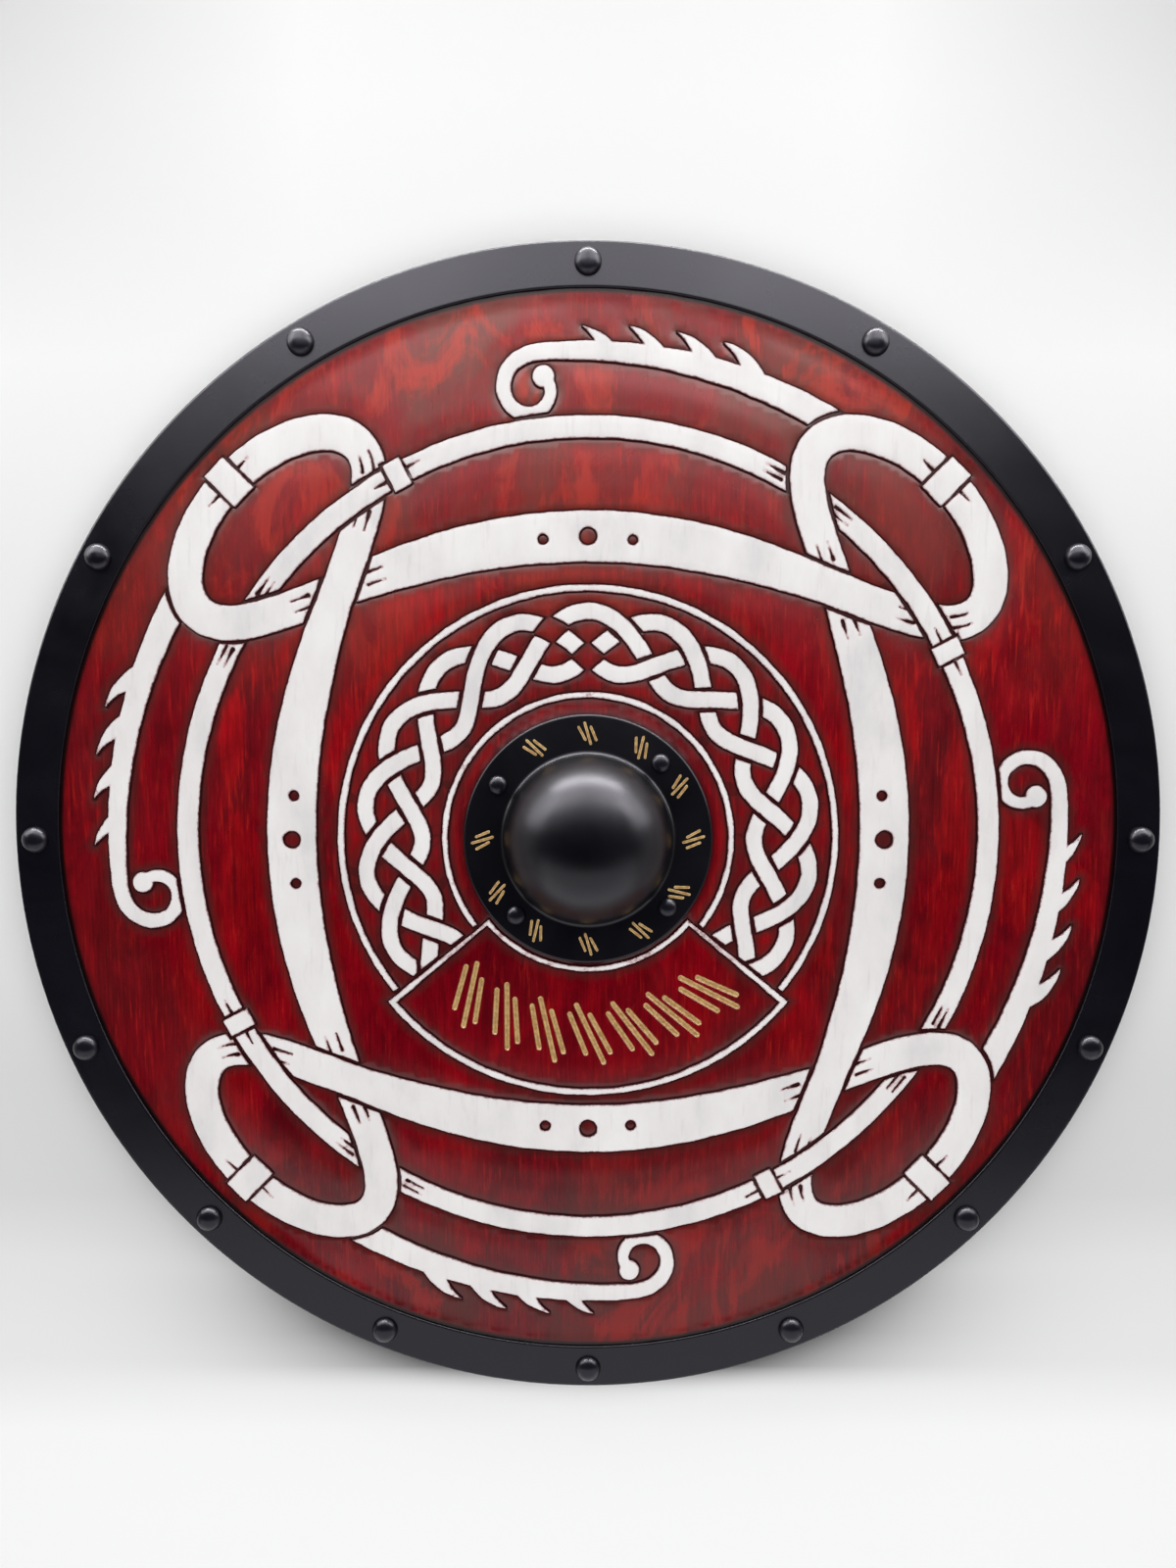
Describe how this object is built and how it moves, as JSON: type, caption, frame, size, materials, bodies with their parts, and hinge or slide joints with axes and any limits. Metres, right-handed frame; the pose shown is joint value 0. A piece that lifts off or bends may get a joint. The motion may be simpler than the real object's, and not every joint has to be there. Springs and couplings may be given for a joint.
{
  "type": "wooden round shield",
  "caption": "Round wooden shield with carved painted ribbonwork, black steel rim and domed boss, rivets, and a wooden grip across the hollow back.",
  "frame": {"origin": "middle of the underside, at the floor, with the shield lying on its back on the grip", "axes": "+Z out of the front face through the boss, +Y towards the top of the shield along the grain, +X along the grip"},
  "size_m": [0.813, 0.813, 0.0946],
  "materials": {
    "board": "red stained and oiled wood with off-white painted relief",
    "rim": "satin black powder coat",
    "boss": "smooth satin black with gold strokes on the flange",
    "rivet": "semi-gloss black",
    "grip": "plain oiled wood"
  },
  "bodies": {
    "root": {"board": "board", "rim": "rim", "boss": "boss", "grip": "grip", "rim_rivet_01": "rivet", "rim_rivet_02": "rivet", "rim_rivet_03": "rivet", "rim_rivet_04": "rivet", "rim_rivet_05": "rivet", "rim_rivet_06": "rivet", "rim_rivet_07": "rivet", "rim_rivet_08": "rivet", "rim_rivet_09": "rivet", "rim_rivet_10": "rivet", "rim_rivet_11": "rivet", "rim_rivet_12": "rivet", "rim_rivet_13": "rivet", "rim_rivet_14": "rivet", "boss_rivet_1": "rivet", "boss_rivet_2": "rivet", "boss_rivet_3": "rivet", "boss_rivet_4": "rivet"}
  },
  "joints": []
}
